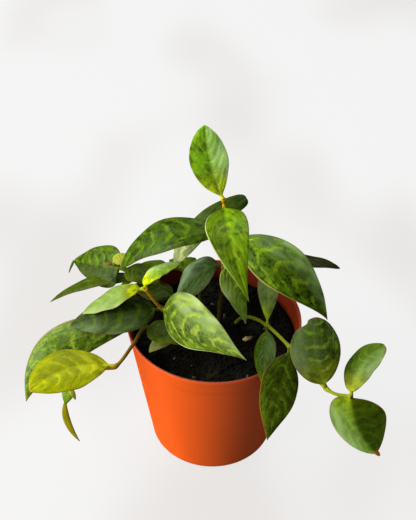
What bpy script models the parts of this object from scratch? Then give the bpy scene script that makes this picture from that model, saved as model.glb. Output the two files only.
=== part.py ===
"""A lipstick plant in its nursery pot: the pot, the potting soil and eight leafy stems.

Sizes and places below are in millimetres and degrees, and the finished objects are in metres.
+Z is up, -Y is the front, and the origin is the middle of the pot's underside.
"""

import bmesh
import bpy
import numpy as np

MM = 0.001
CLEARANCE = 0.3

# Driving sizes of the pot
RIM_RADIUS = 45.0
POT_HEIGHT = 81.5
BASE_RADIUS = 32.2
WALL = 1.2
FLOOR = 2.0
RIM_BAND = 9.0
BAND_STEP = 0.6
FOOT_ROUNDING = 3.0
SIDES = 48
DRAIN_HOLES = 5
DRAIN_RADIUS = 4.0
DRAIN_CIRCLE = 19.0

# Driving sizes of the soil, the stems and the leaves
SOIL_TOP = 72.5
SOIL_BUMP = 0.7
SOIL_EDGE_DROP = 2.0
SOIL_RINGS = 7
STEM_RADIUS = 1.5
STEM_TIP_RADIUS = 1.0
STEM_HOLE_RADIUS = 2.2
STEM_HOLE_ABOVE_SOIL = 8.0
STEM_STEPS = 4
BLADE_THICKNESS = 0.8
STALK_HALF_WIDTH = 0.8
HOOK_START = 0.7
BLADE_ROWS = 8
BLADE_COLUMNS = 4


def collection(name):
    """A new collection in the scene."""
    made = bpy.data.collections.new(name)
    bpy.context.scene.collection.children.link(made)
    return made


for old in list(bpy.data.objects):
    bpy.data.objects.remove(old, do_unlink=True)

PLANT = collection("potted_lipstick_plant")
CUTTERS = collection("cutters")


def material(name, colour, roughness):
    """A plain Principled material."""
    made = bpy.data.materials.new(name)
    made.use_nodes = True
    shader = made.node_tree.nodes["Principled BSDF"]
    shader.inputs["Base Color"].default_value = (*colour, 1.0)
    shader.inputs["Roughness"].default_value = roughness
    shader.inputs["Metallic"].default_value = 0.0
    return made


def add_object(name, mesh, group, surface=None):
    """Links a mesh as an object. A cutter is drawn as wire and never rendered."""
    made = bpy.data.objects.new(name, mesh)
    group.objects.link(made)
    if surface:
        mesh.materials.append(surface)
    if group == CUTTERS:
        made.hide_render = True
        made.display_type = "WIRE"
    return made


def bake(target):
    """Replaces an object's mesh by the one its modifiers make."""
    graph = bpy.context.evaluated_depsgraph_get()
    finished = bpy.data.meshes.new_from_object(target.evaluated_get(graph))
    target.modifiers.clear()
    target.data = finished


def unit(rows):
    """Vectors scaled to length one."""
    return rows / np.linalg.norm(rows, axis=-1, keepdims=True)


def turned(name, profile, steps, group, surface=None):
    """A profile of (radius, height) pairs, outer side top to bottom, turned about Z."""
    mesh = bpy.data.meshes.new(name)
    points = [(radius * MM, 0.0, height * MM) for radius, height in profile]
    mesh.from_pydata(points, [(i, i + 1) for i in range(len(points) - 1)], [])
    made = add_object(name, mesh, group, surface)
    turn = made.modifiers.new("Turn", "SCREW")
    turn.steps = turn.render_steps = steps
    turn.use_merge_vertices = True
    turn.merge_threshold = 0.00001
    turn.use_smooth_shade = True
    return made


def smooth_route(points, steps):
    """A curve through all the points, the Catmull-Rom way."""
    points = np.array(points, float)
    padded = np.vstack([2 * points[0] - points[1], points, 2 * points[-1] - points[-2]])
    t = np.linspace(0.0, 1.0, steps, endpoint=False)[:, None]
    stretches = []
    for before, start, end, after in zip(padded, padded[1:], padded[2:], padded[3:]):
        pull = (end - before) * t + (2 * before - 5 * start + 4 * end - after) * t**2
        stretches.append(start + 0.5 * (pull + (3 * start - before - 3 * end + after) * t**3))
    return np.vstack(stretches + [points[-1:]])


def tube(name, path, radii, group, surface=None):
    """A round stem along a path, as a closed mesh."""
    curve = bpy.data.curves.new(name, "CURVE")
    curve.dimensions = "3D"
    curve.bevel_depth = MM
    curve.bevel_resolution = 1
    curve.use_fill_caps = True
    spline = curve.splines.new("POLY")
    spline.points.add(len(path) - 1)
    for point, place, radius in zip(spline.points, path, radii):
        point.co = (*(place * MM), 1.0)
        point.radius = radius
    wire = bpy.data.objects.new(name + "_route", curve)
    group.objects.link(wire)
    graph = bpy.context.evaluated_depsgraph_get()
    mesh = bpy.data.meshes.new_from_object(wire.evaluated_get(graph))
    made = add_object(name, mesh, group, surface)
    made.matrix_world = wire.matrix_world
    bpy.data.objects.remove(wire, do_unlink=True)
    body = bmesh.new()
    body.from_mesh(mesh)
    bmesh.ops.remove_doubles(body, verts=body.verts, dist=0.000001)
    body.to_mesh(mesh)
    body.free()
    return made


def leaf(node, heading, rise, length, width, **habit):
    """A leaf's own numbers: which node it grows from, where it points and how its blade is shaped.

    heading and rise turn the line from base to tip; roll turns the blade about that line.
    arch and sweep bow the midrib out of and along the blade, and hook curls the tip down,
    as shares of the length. fold lifts both margins to a V and cup rounds them down, as shares
    of the half width. round_base and long_tip are the powers that shape the outline.
    """
    usual = dict(roll=0.0, arch=0.1, sweep=0.0, hook=0.0, fold=0.15, cup=0.2,
                 round_base=0.55, long_tip=0.95, stalk=0.07)
    return dict(usual, node=node, heading=heading, rise=rise, length=length, width=width, **habit)


def blade(numbers, base, t, v):
    """Points of a blade: t runs from base to tip and v across it, from -1 to 1."""
    heading, rise, roll = np.radians([numbers["heading"], numbers["rise"], numbers["roll"]])
    chord = np.array([np.cos(rise) * np.cos(heading), np.cos(rise) * np.sin(heading), np.sin(rise)])
    level = np.array([-np.sin(heading), np.cos(heading), 0.0])
    above = np.cross(chord, level)
    across = np.cos(roll) * level + np.sin(roll) * above
    face = np.cos(roll) * above - np.sin(roll) * level

    t, v = t[:, None], v[:, None]
    bow, bow_slope = 4 * t * (1 - t), 4 - 8 * t
    hook_run = 1 - HOOK_START
    near_tip = np.clip((t - HOOK_START) / hook_run, 0, 1)
    out_of_plane = numbers["arch"] * bow - numbers["hook"] * near_tip**2
    slope = numbers["arch"] * bow_slope - numbers["hook"] * 2 * near_tip / hook_run
    midrib = base + numbers["length"] * (t * chord + out_of_plane * face + numbers["sweep"] * bow * across)
    along = unit(chord + slope * face + numbers["sweep"] * bow_slope * across)
    normal = unit(np.cross(along, across))
    side = np.cross(normal, along)

    p, q = numbers["round_base"], numbers["long_tip"]
    widest = p / (p + q)
    blade_t = np.clip((t - numbers["stalk"]) / (1 - numbers["stalk"]), 0, 1)
    outline = (blade_t / widest) ** p * ((1 - blade_t) / (1 - widest)) ** q
    half = np.maximum(numbers["width"] / 2 * outline, STALK_HALF_WIDTH)
    lift = half * (numbers["fold"] * np.abs(v) - numbers["cup"] * v**2)
    return midrib + side * half * v + normal * lift


def add_blade(name, numbers, base, group):
    """A grid bent to the leaf's form, split the same way on both faces, and given its thickness."""
    body = bmesh.new()
    bmesh.ops.create_grid(body, x_segments=BLADE_ROWS, y_segments=BLADE_COLUMNS, size=1.0)
    flat = np.array([vert.co[:] for vert in body.verts])
    t = 0.5 - 0.5 * np.cos(np.pi * (flat[:, 0] + 1) / 2)
    for vert, place in zip(body.verts, blade(numbers, base, t, flat[:, 1])):
        vert.co = place * MM
    bmesh.ops.triangulate(body, faces=body.faces)
    mesh = bpy.data.meshes.new(name)
    body.to_mesh(mesh)
    body.free()
    made = add_object(name, mesh, group)
    skin = made.modifiers.new("Thickness", "SOLIDIFY")
    skin.thickness = BLADE_THICKNESS * MM
    skin.offset = 0.0


def leafy_stem(name, colour, route, leaves):
    """A stem through the points of its route with its leaves joined to it, and its hole in the soil."""
    path = smooth_route(route, STEM_STEPS)
    radii = np.linspace(STEM_RADIUS, STEM_TIP_RADIUS, len(path))
    stem = tube(name, path, radii, PLANT, material(name, colour, 0.4))
    foliage = collection(name + "_leaves")
    for number, numbers in enumerate(leaves):
        add_blade(f"{name}_leaf_{number}", numbers, np.array(route[numbers["node"]], float), foliage)
    join = stem.modifiers.new("Join leaves", "BOOLEAN")
    join.operation = "UNION"
    join.operand_type = "COLLECTION"
    join.collection = foliage
    bake(stem)
    for piece in list(foliage.objects):
        bpy.data.objects.remove(piece, do_unlink=True)
    bpy.data.collections.remove(foliage)
    stem.data.shade_smooth()
    stem.data.set_sharp_from_angle(angle=np.radians(40))

    sunk = path[path[:, 2] < SOIL_TOP + STEM_HOLE_ABOVE_SOIL]
    sunk[0, 2] -= 3 * CLEARANCE
    tube(name + "_hole", sunk, np.full(len(sunk), STEM_HOLE_RADIUS), CUTTERS)


def outer_radius(height):
    """The cone of the pot's outer wall below the rim band."""
    return BASE_RADIUS + (RIM_RADIUS - BASE_RADIUS) * height / POT_HEIGHT


def make_pot():
    """A thin tapered plastic pot: rim band, rounded foot, flat underside and drain holes."""
    band_foot = POT_HEIGHT - RIM_BAND
    rim = WALL / 3
    foot = [(outer_radius(FOOT_ROUNDING) - BAND_STEP - FOOT_ROUNDING * (1 - np.cos(turn)),
             FOOT_ROUNDING * (1 - np.sin(turn))) for turn in np.linspace(0, np.pi / 2, 5)]
    profile = [
        (0.0, FLOOR),
        (outer_radius(FLOOR) - BAND_STEP - WALL - FOOT_ROUNDING / 2, FLOOR),
        (outer_radius(FLOOR + FOOT_ROUNDING / 2) - BAND_STEP - WALL, FLOOR + FOOT_ROUNDING / 2),
        (outer_radius(band_foot - WALL) - BAND_STEP - WALL, band_foot - WALL),
        (RIM_RADIUS - WALL, POT_HEIGHT - rim),
        (RIM_RADIUS - WALL + rim, POT_HEIGHT),
        (RIM_RADIUS - rim, POT_HEIGHT),
        (RIM_RADIUS, POT_HEIGHT - rim),
        (outer_radius(band_foot), band_foot),
        (outer_radius(band_foot) - BAND_STEP, band_foot - BAND_STEP),
        *foot,
        (0.0, 0.0),
    ]
    pot = turned("pot", profile, SIDES, PLANT, material("pot", (0.85, 0.14, 0.02), 0.35))
    for turn in np.arange(DRAIN_HOLES) * 2 * np.pi / DRAIN_HOLES:
        body = bmesh.new()
        bmesh.ops.create_cone(body, cap_ends=True, segments=16, radius1=DRAIN_RADIUS * MM,
                              radius2=DRAIN_RADIUS * MM, depth=4 * FLOOR * MM)
        mesh = bpy.data.meshes.new("drain_hole")
        body.to_mesh(mesh)
        body.free()
        drill = add_object("drain_hole", mesh, CUTTERS)
        drill.location = (DRAIN_CIRCLE * MM * np.cos(turn), DRAIN_CIRCLE * MM * np.sin(turn), 0.0)
        cut = pot.modifiers.new("Drain hole", "BOOLEAN")
        cut.object = drill


def make_soil():
    """Potting soil up to 9 mm under the rim, with an uneven top and a hole for each stem."""
    band_foot = POT_HEIGHT - RIM_BAND
    inside = BAND_STEP + WALL + CLEARANCE
    edge = outer_radius(band_foot - SOIL_EDGE_DROP) - inside
    rings = np.linspace(0.0, edge - SOIL_EDGE_DROP / 2, SOIL_RINGS)
    profile = [
        *[(radius, SOIL_TOP) for radius in rings],
        (edge, SOIL_TOP - SOIL_EDGE_DROP),
        (outer_radius(FLOOR + FOOT_ROUNDING) - inside, FLOOR + FOOT_ROUNDING),
        (outer_radius(FLOOR) - inside - FOOT_ROUNDING / 2, FLOOR + CLEARANCE),
        (0.0, FLOOR + CLEARANCE),
    ]
    soil = turned("soil", profile, SIDES, PLANT, material("soil", (0.02, 0.014, 0.008), 0.95))
    bake(soil)
    for vert in soil.data.vertices:
        x, y, z = vert.co / MM
        if z > SOIL_TOP - SOIL_EDGE_DROP / 2:
            waves = np.sin(0.31 * x + 0.5) * np.cos(0.27 * y) + 0.6 * np.sin(0.53 * y - 0.36 * x + 2.0)
            vert.co.z += SOIL_BUMP * waves * MM
    for cutter in CUTTERS.objects:
        if cutter.name.startswith("stem"):
            cut = soil.modifiers.new("Stem hole", "BOOLEAN")
            cut.object = cutter


YOUNG_GREEN = (0.35, 0.50, 0.05)
FULL_GREEN = (0.08, 0.22, 0.02)

# The tallest stem, straight up from the middle, with an upright leaf at its top
leafy_stem(
    "stem_upright", FULL_GREEN,
    route=[(2, 2, 64), (3, 1, 95), (4, 0, 120), (6, 0, 139), (4, 0, 156), (3, 0, 161)],
    leaves=[
        leaf(5, heading=114, rise=51, length=36, width=19, roll=-3, arch=0.0, sweep=0.05,
             round_base=0.86, long_tip=0.78, stalk=0.05, fold=0.1),
        leaf(4, heading=283, rise=-16, length=53, width=20, roll=8, arch=0.28, sweep=-0.05,
             round_base=0.56, long_tip=1.26, fold=0.2),
        leaf(3, heading=342, rise=-38, length=67, width=24, roll=34, arch=0.27, sweep=0.03,
             round_base=0.62, long_tip=1.24, fold=-0.1),
        leaf(3, heading=175, rise=-28, length=61, width=19, roll=-17, arch=0.19, sweep=-0.05,
             round_base=0.6, long_tip=0.8),
        leaf(2, heading=312, rise=-58, length=34, width=17, roll=-13, arch=0.06,
             round_base=0.4, long_tip=1.15),
        leaf(2, heading=179, rise=-58, length=45, width=22, roll=-10, arch=0.14, sweep=-0.05),
        leaf(2, heading=72, rise=-25, length=46, width=17, arch=0.15),
    ],
)

# A stem at the back left whose last leaf rises behind the upright stem
leafy_stem(
    "stem_back_left", FULL_GREEN,
    route=[(-6, 10, 64), (-8, 16, 84), (-15, 24, 91), (-22, 24.5, 94)],
    leaves=[
        leaf(3, heading=20, rise=42, length=54, width=13, roll=21, arch=0.16, sweep=0.03,
             round_base=0.35, long_tip=0.3),
        leaf(3, heading=163, rise=-42, length=42, width=16, arch=0.15),
        leaf(2, heading=97, rise=-46, length=43, width=14.5, arch=0.2),
    ],
)

# A young stem at the front left, with light green leaves above two full ones
leafy_stem(
    "stem_young", YOUNG_GREEN,
    route=[(-7, -3, 64), (-13, -7, 82), (-26, -13.5, 101), (-34, -17, 118)],
    leaves=[
        leaf(2, heading=316, rise=6, length=58, width=26, roll=63, arch=0.1, sweep=0.07,
             round_base=0.62, long_tip=1.35, stalk=0.04),
        leaf(2, heading=188, rise=-9, length=47, width=20, roll=-27, arch=0.1, long_tip=0.9),
        leaf(3, heading=179, rise=-31, length=37, width=17, roll=5, arch=0.02, sweep=-0.07,
             round_base=0.81, long_tip=1.0),
        leaf(3, heading=37, rise=12, length=21, width=11.5, roll=-18, arch=0.06, sweep=0.22,
             round_base=0.55, long_tip=0.56),
    ],
)

# A stem that trails over the rim at the left
leafy_stem(
    "stem_trailing_left", FULL_GREEN,
    route=[(-13, -9, 64), (-21, -11, 80), (-34, -14, 88), (-40.5, -26, 87), (-48, -40, 87),
           (-60, -36, 80), (-72, -34, 64)],
    leaves=[
        leaf(2, heading=193, rise=-33, length=76, width=20, roll=-55, arch=0.13, sweep=-0.21,
             round_base=0.89, long_tip=1.1),
        leaf(4, heading=210, rise=7, length=45, width=23, roll=-14, arch=0.04, sweep=-0.11,
             round_base=0.75, long_tip=0.75),
        leaf(6, heading=297, rise=-74, length=33, width=3.8, roll=35, arch=0.0, sweep=-0.15,
             round_base=0.9, long_tip=1.0, stalk=0.22),
        leaf(6, heading=244, rise=-56, length=9, width=6.5, round_base=0.3, long_tip=1.0),
        leaf(6, heading=305, rise=-36, length=6.5, width=2.6),
        leaf(2, heading=342, rise=-5, length=26, width=16, arch=0.06, round_base=0.42, stalk=0.04),
        leaf(1, heading=228, rise=0, length=17, width=9),
    ],
)

# A stem that leans to the left at the back
leafy_stem(
    "stem_left_back", FULL_GREEN,
    route=[(-12, 6, 64), (-20, 12, 84), (-36, 12, 98), (-46, 10, 105.5), (-51.5, 10, 109.5)],
    leaves=[
        leaf(3, heading=133.5, rise=-28.5, length=52, width=22, roll=-56, arch=0.06,
             round_base=0.25, long_tip=0.95),
        leaf(3, heading=329, rise=0, length=22, width=15, arch=0.12),
        leaf(2, heading=177, rise=-23, length=54.5, width=9.5, roll=2, arch=0.11, round_base=0.55),
        leaf(1, heading=155, rise=-6, length=27, width=15, arch=0.08),
        leaf(4, heading=30, rise=10, length=8.5, width=8, round_base=0.4, long_tip=0.5),
        leaf(4, heading=190, rise=-10, length=5, width=2.5),
    ],
)

# A stem that trails over the rim at the right front
leafy_stem(
    "stem_trailing_right", FULL_GREEN,
    route=[(8, 8, 64), (13.5, 4.5, 77), (19.5, 1.5, 81), (27, -8, 85), (38, -24, 86), (55.5, -45, 79),
           (67.5, -48, 77)],
    leaves=[
        leaf(3, heading=89, rise=36.5, length=28, width=11, arch=0.12, round_base=0.95, long_tip=0.44),
        leaf(3, heading=265.5, rise=-2, length=40, width=11, roll=8, arch=0.0,
             round_base=0.7, long_tip=1.15, stalk=0.1),
        leaf(4, heading=255, rise=-25, length=49, width=20, roll=-29, arch=0.09, sweep=-0.04,
             round_base=0.89, long_tip=1.18),
        leaf(5, heading=99, rise=32, length=36, width=25, roll=-18, arch=0.17, sweep=0.06,
             round_base=0.55, long_tip=0.56),
        leaf(6, heading=48, rise=33, length=30, width=15, roll=-6, arch=0.08, sweep=0.13,
             round_base=0.48, long_tip=0.47),
        leaf(6, heading=320, rise=-54.5, length=35.5, width=29, roll=65, arch=0.02, sweep=-0.12,
             round_base=0.42, long_tip=0.56, stalk=0.03, fold=-0.45, cup=0.0),
    ],
)

# A stem at the back right, mostly hidden from the front
leafy_stem(
    "stem_back_right", FULL_GREEN,
    route=[(2, 14, 64), (4, 17, 84), (12, 22, 97), (24, 25, 102)],
    leaves=[
        leaf(3, heading=353.5, rise=-1, length=41, width=10.5, roll=-6, arch=0.02, hook=0.05,
             round_base=0.6, long_tip=0.74),
        leaf(3, heading=35, rise=-48, length=44, width=19, arch=0.12),
        leaf(2, heading=64, rise=-20, length=40, width=17, arch=0.12),
    ],
)

# A stem that hangs over the rim at the back
leafy_stem(
    "stem_trailing_back", FULL_GREEN,
    route=[(10, 20, 64), (10, 24, 82), (9, 34, 90), (8, 46, 88), (10, 55, 76), (12, 61, 60), (13, 62, 48)],
    leaves=[
        leaf(4, heading=18, rise=-30, length=42, width=19, arch=0.2),
        leaf(5, heading=172, rise=-34, length=42, width=20, arch=0.1),
        leaf(6, heading=85, rise=-58, length=28, width=13),
        leaf(6, heading=290, rise=-35, length=12, width=7),
    ],
)

make_pot()
make_soil()
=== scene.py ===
"""The looks of a potted lipstick plant: its pot, its soil, its leafy stems, and the studio round them.

Lengths in the tables are in millimetres and angles in degrees. Meshes and lamps are in metres.
"""

import bpy
import numpy as np
from mathutils import Matrix, Vector


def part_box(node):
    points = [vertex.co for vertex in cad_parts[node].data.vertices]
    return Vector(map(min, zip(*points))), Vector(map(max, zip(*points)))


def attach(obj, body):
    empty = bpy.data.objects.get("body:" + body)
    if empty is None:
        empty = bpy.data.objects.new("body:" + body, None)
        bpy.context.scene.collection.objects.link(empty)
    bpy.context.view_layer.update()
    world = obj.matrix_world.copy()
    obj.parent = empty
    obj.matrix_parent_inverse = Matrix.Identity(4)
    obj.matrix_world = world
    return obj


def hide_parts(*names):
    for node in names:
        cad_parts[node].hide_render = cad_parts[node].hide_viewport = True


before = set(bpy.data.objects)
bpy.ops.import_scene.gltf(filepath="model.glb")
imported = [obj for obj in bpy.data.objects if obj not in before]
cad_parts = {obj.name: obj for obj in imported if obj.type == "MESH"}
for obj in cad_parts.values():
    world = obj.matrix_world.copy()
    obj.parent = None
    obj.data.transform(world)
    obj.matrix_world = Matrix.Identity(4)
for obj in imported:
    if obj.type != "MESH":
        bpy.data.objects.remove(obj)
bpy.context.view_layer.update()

# The pot
# A nursery pot, injection moulded in one shot of orange polypropylene: thin tapered wall, a band
# under the rim that stiffens it, a rounded foot, and five holes in its floor for the water.

MM = 0.001
RIM_RADIUS, _, POT_HEIGHT = np.array(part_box("pot")[1]) / MM
BASE_RADIUS = 32.2
POT_WALL = 1.2
POT_FLOOR = 2.0
RIM_BAND = 9.0
BAND_STEP = 0.18
SLOPE_FOOT = 2.6
BAND_SLOPE = ((1.6, 0.9), (0.8, 0.5), (0.0, 0.1), (-1.0, 0.0))
LOWEST_RING = 6.0
FOOT_ROUNDING = 3.0
POT_COLUMNS = 240
DRAIN_HOLES = 5
DRAIN_RADIUS = 4.0
DRAIN_CIRCLE = 19.0
POT_ORANGE = (0.80, 0.095, 0.003)
POT_WORN = (0.90, 0.190, 0.050)
POT_PAINTED_SHADE = (0.12, 0.010, 0.001)


class Value:
    """A number, vector or colour that changes over a surface: a socket with the usual operators."""

    def __init__(self, finish, socket):
        self.finish = finish
        self.socket = socket

    def number(self, operation, *others):
        """The result of a Math node whose first value is this one."""
        values = dict(enumerate((self, *others)))
        return self.finish.node("ShaderNodeMath", {"operation": operation}, values)

    def __add__(self, other):
        return self.number("ADD", other)

    def __sub__(self, other):
        return self.number("SUBTRACT", other)

    def __mul__(self, other):
        return self.number("MULTIPLY", other)

    def __pow__(self, other):
        return self.number("POWER", other)

    def __rsub__(self, other):
        return self.finish.node("ShaderNodeMath", {"operation": "SUBTRACT"}, {0: other, 1: self})

    __radd__ = __add__
    __rmul__ = __mul__

    def clamped(self):
        return self.finish.node("ShaderNodeClamp", {}, {0: self})

    def stepped(self, low, high):
        """0 below low and 1 above high, with a smooth rise between them."""
        return self.finish.node("ShaderNodeMapRange", {"interpolation_type": "SMOOTHSTEP"},
                                {0: self, 1: low, 2: high, 3: 0.0, 4: 1.0})

    def part(self, axis):
        """One component of a vector."""
        return self.finish.node("ShaderNodeSeparateXYZ", {}, {0: self}, output=axis)


class Finish:
    """A material: its nodes are made by one method, and its Principled shader takes the results."""

    def __init__(self, name, **constants):
        self.material = bpy.data.materials.new(name)
        self.material.use_nodes = True
        self.tree = self.material.node_tree
        self.shader = self.tree.nodes["Principled BSDF"]
        for socket, value in constants.items():
            self.shader.inputs[socket.replace("_", " ")].default_value = value

    def node(self, kind, settings, values, output=0):
        """A node of a kind, with its settings made first, and its sockets set or linked."""
        made = self.tree.nodes.new(kind)
        for name, setting in settings.items():
            setattr(made, name, setting)
        for name, value in values.items():
            self.feed(made.inputs[name], value)
        return Value(self, made.outputs[output])

    def feed(self, socket, value):
        """Links a Value to a socket, or sets the socket to a constant."""
        if isinstance(value, Value):
            self.tree.links.new(value.socket, socket)
        elif socket.type == "RGBA" and len(value) == 3:
            socket.default_value = (*value, 1.0)
        else:
            socket.default_value = value

    def place(self):
        """Object coordinates, in metres."""
        return self.node("ShaderNodeTexCoord", {}, {}, output="Object")

    def attribute(self, name, output="Vector"):
        """A vector or a colour that the mesh holds at each of its points."""
        return self.node("ShaderNodeAttribute", {"attribute_name": name}, {}, output)

    def scaled(self, vector, factors):
        """A vector times three factors."""
        return self.node("ShaderNodeVectorMath", {"operation": "MULTIPLY"}, {0: vector, 1: factors})

    def noise(self, vector, scale, detail=2.0, roughness=0.5):
        """Fractal noise, from 0 to 1."""
        return self.node("ShaderNodeTexNoise", {}, {"Vector": vector, "Scale": scale, "Detail": detail,
                                                    "Roughness": roughness})

    def cells(self, vector, scale, feature="F1"):
        """Irregular cells: the distance to their middles or, as an edge feature, to their walls."""
        return self.node("ShaderNodeTexVoronoi", {"feature": feature}, {"Vector": vector, "Scale": scale},
                         output="Distance")

    def mix(self, first, second, factor):
        """A colour between two colours."""
        return self.node("ShaderNodeMix", {"data_type": "RGBA"}, {6: first, 7: second, 0: factor}, output=2)

    def shade(self, colour, factor):
        """A colour made lighter or darker by a number."""
        return self.node("ShaderNodeVectorMath", {"operation": "SCALE"}, {0: colour, "Scale": factor})

    def relief(self, height, depth, strength=1.0):
        """A Bump node from a height of 0 to 1, which stands for a depth in metres."""
        return self.node("ShaderNodeBump", {}, {"Height": height, "Distance": depth, "Strength": strength})

    def wear(self, **results):
        """Feeds the shader's sockets and gives the material back."""
        for socket, value in results.items():
            self.feed(self.shader.inputs[socket.replace("_", " ")], value)
        return self.material


def placed(name, data):
    """A new object in the scene, at the origin."""
    made = bpy.data.objects.new(name, data)
    bpy.context.scene.collection.objects.link(made)
    return made


def shown(name, points, faces, materials, slot, nodes, material_of=None, attributes=()):
    """A mesh piece from whole arrays, in millimetres. It rides on the part's only body, root."""
    mesh = bpy.data.meshes.new(name)
    mesh.from_pydata(points * MM, [], faces)
    for surface in materials:
        mesh.materials.append(surface)
    if material_of is not None:
        mesh.polygons.foreach_set("material_index", material_of)
    for title, values in attributes:
        kind, field = ("FLOAT_VECTOR", "vector") if values.shape[1] == 3 else ("FLOAT_COLOR", "color")
        mesh.attributes.new(title, kind, "POINT").data.foreach_set(field, values.ravel())
    mesh.shade_smooth()
    piece = placed(name, mesh)
    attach(piece, "root")
    if nodes:
        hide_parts(*nodes)
    return piece


def ring_faces(rings, columns, offset=0):
    """Quads between closed rings of points, then two fans to the two poles that follow the rings."""
    ring, column = np.meshgrid(np.arange(rings - 1), np.arange(columns), indexing="ij")
    following = (column + 1) % columns
    quads = np.stack([ring * columns + column, ring * columns + following,
                      (ring + 1) * columns + following, (ring + 1) * columns + column], axis=-1)
    around, beside = column[0], following[0]
    last_ring = (rings - 1) * columns
    pole = np.full(columns, rings * columns)
    start = np.stack([pole, beside, around], axis=-1)
    end = np.stack([pole + 1, around + last_ring, beside + last_ring], axis=-1)
    return ((quads.reshape(-1, 4) + offset).tolist() + (start + offset).tolist() + (end + offset).tolist())


def arc(centre, radius, start, end, count):
    """Points on a circular arc in the (radius, height) plane, angles in degrees."""
    turn = np.radians(np.linspace(start, end, count))
    return np.stack([centre[0] + radius * np.cos(turn), centre[1] + radius * np.sin(turn)], axis=-1)


def wall_radius(height):
    """The cone of the pot's outer wall, measured on the rim band."""
    return BASE_RADIUS + (RIM_RADIUS - BASE_RADIUS) * height / POT_HEIGHT


def pot_profile():
    """The pot's wall from the middle of its underside, up the outside, over the rim and down inside.

    The foot is a quarter circle and the rim a half circle. The band's step is a slope from SLOPE_FOOT
    under the band up: BAND_SLOPE has drops below the band's foot and the share of the step left there.
    """
    band_foot = POT_HEIGHT - RIM_BAND
    lip = POT_WALL / 2
    foot_radius = wall_radius(FOOT_ROUNDING) - BAND_STEP - FOOT_ROUNDING
    inner_foot = foot_radius + FOOT_ROUNDING - POT_WALL - FOOT_ROUNDING / 2
    flat_start, flat_end = DRAIN_CIRCLE - 2 * DRAIN_RADIUS, DRAIN_CIRCLE + 1.5 * DRAIN_RADIUS
    return np.vstack([
        [(flat_start, 0.0), (flat_end, 0.0)],
        arc((foot_radius, FOOT_ROUNDING), FOOT_ROUNDING, -90, -8, 12),
        [(wall_radius(height) - BAND_STEP, height)
         for height in np.linspace(LOWEST_RING, band_foot - SLOPE_FOOT, 14)],
        [(wall_radius(band_foot - drop) - share * BAND_STEP, band_foot - drop) for drop, share in BAND_SLOPE],
        [(wall_radius(POT_HEIGHT - lip - 1.5), POT_HEIGHT - lip - 1.5)],
        arc((RIM_RADIUS - lip, POT_HEIGHT - lip), lip, 0, 180, 13),
        [(wall_radius(height) - POT_WALL - 0.1, height) for height in (POT_HEIGHT - 3, band_foot + 1)],
        [(wall_radius(height) - POT_WALL - BAND_STEP, height)
         for height in (band_foot - 1, 40, 12, LOWEST_RING)],
        arc((inner_foot, POT_FLOOR + FOOT_ROUNDING / 2), FOOT_ROUNDING / 2, 0, -90, 6),
        [(flat_end, POT_FLOOR), (flat_start, POT_FLOOR)],
    ])


def pot_plastic():
    """Satin moulded plastic: a faint orange-peel grain, dull scuffs, and paler rubbed spots.

    Painted shade darkens the inside, the points that lie further in than the cone of the outer wall, and the
    top of the rim.
    """
    finish = Finish("moulded_orange_plastic", Specular_IOR_Level=0.6)
    place = finish.place()
    drift = finish.noise(finish.scaled(place, (1.0, 1.0, 0.35)), 60.0, detail=3.0)
    peel = finish.noise(place, 2600.0, detail=1.0)
    scuffs = finish.noise(finish.scaled(place, (1.0, 1.0, 3.0)), 240.0, detail=5.0, roughness=0.7)
    rubbed = scuffs.stepped(0.62, 0.78) * 0.30
    height = place.part("Z")
    # Painted shade: the top of the rim is darkened with the same colour as the inside, and made rougher.
    lip = height.stepped(POT_HEIGHT * MM - 0.0006, POT_HEIGHT * MM - 0.0001)
    colour = finish.mix(finish.shade(POT_ORANGE, 0.92 + 0.16 * drift), POT_WORN, rubbed)
    colour = finish.mix(colour, POT_PAINTED_SHADE, lip * 0.75)
    flat = finish.scaled(place, (1.0, 1.0, 0.0))
    radius = finish.node("ShaderNodeVectorMath", {"operation": "LENGTH"}, {0: flat}, output="Value")
    # Painted shade on the inside wall: points further in than the outer wall's cone are darkened.
    cone = MM * BASE_RADIUS + (RIM_RADIUS - BASE_RADIUS) / POT_HEIGHT * height
    inside_shade = (cone - radius).stepped(0.0008, 0.0013) * (0.75 + 0.25 * drift)
    colour = finish.mix(colour, POT_PAINTED_SHADE, inside_shade)
    return finish.wear(Base_Color=colour, Roughness=0.36 + 0.12 * drift + 0.10 * rubbed + 0.5 * lip,
                       Normal=finish.relief(0.6 * peel + 0.4 * scuffs, 0.00006, 0.35))


def make_pot():
    """The profile turned about Z, with its drain holes cut through the floor."""
    profile = pot_profile()
    turn = np.linspace(0, 2 * np.pi, POT_COLUMNS, endpoint=False)
    rings = np.stack([profile[:, :1] * np.cos(turn), profile[:, :1] * np.sin(turn),
                      np.repeat(profile[:, 1:], POT_COLUMNS, axis=1)], axis=-1)
    points = np.vstack([rings.reshape(-1, 3), [(0, 0, profile[0, 1]), (0, 0, profile[-1, 1])]])
    pot = shown("pot_shell", points, ring_faces(len(profile), POT_COLUMNS), [pot_plastic()], "pot", ["pot"])
    for number in range(DRAIN_HOLES):
        angle = 2 * np.pi * number / DRAIN_HOLES
        bpy.ops.mesh.primitive_cylinder_add(
            vertices=48, radius=DRAIN_RADIUS * MM, depth=4 * POT_FLOOR * MM,
            location=(DRAIN_CIRCLE * MM * np.cos(angle), DRAIN_CIRCLE * MM * np.sin(angle), 0.0))
        drill = bpy.context.object
        cut = pot.modifiers.new("Drain hole", "BOOLEAN")
        cut.object = drill
        graph = bpy.context.evaluated_depsgraph_get()
        drilled = bpy.data.meshes.new_from_object(pot.evaluated_get(graph))
        pot.modifiers.clear()
        pot.data = drilled
        bpy.data.objects.remove(drill, do_unlink=True)
    pot.data.set_sharp_from_angle(angle=np.radians(50))


make_pot()

# The soil
# Dark potting mix of peat and bark fines, watered and settled to 9 mm under the rim. Crumbs lie
# loose on it, with a few chips of pale bark.

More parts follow.
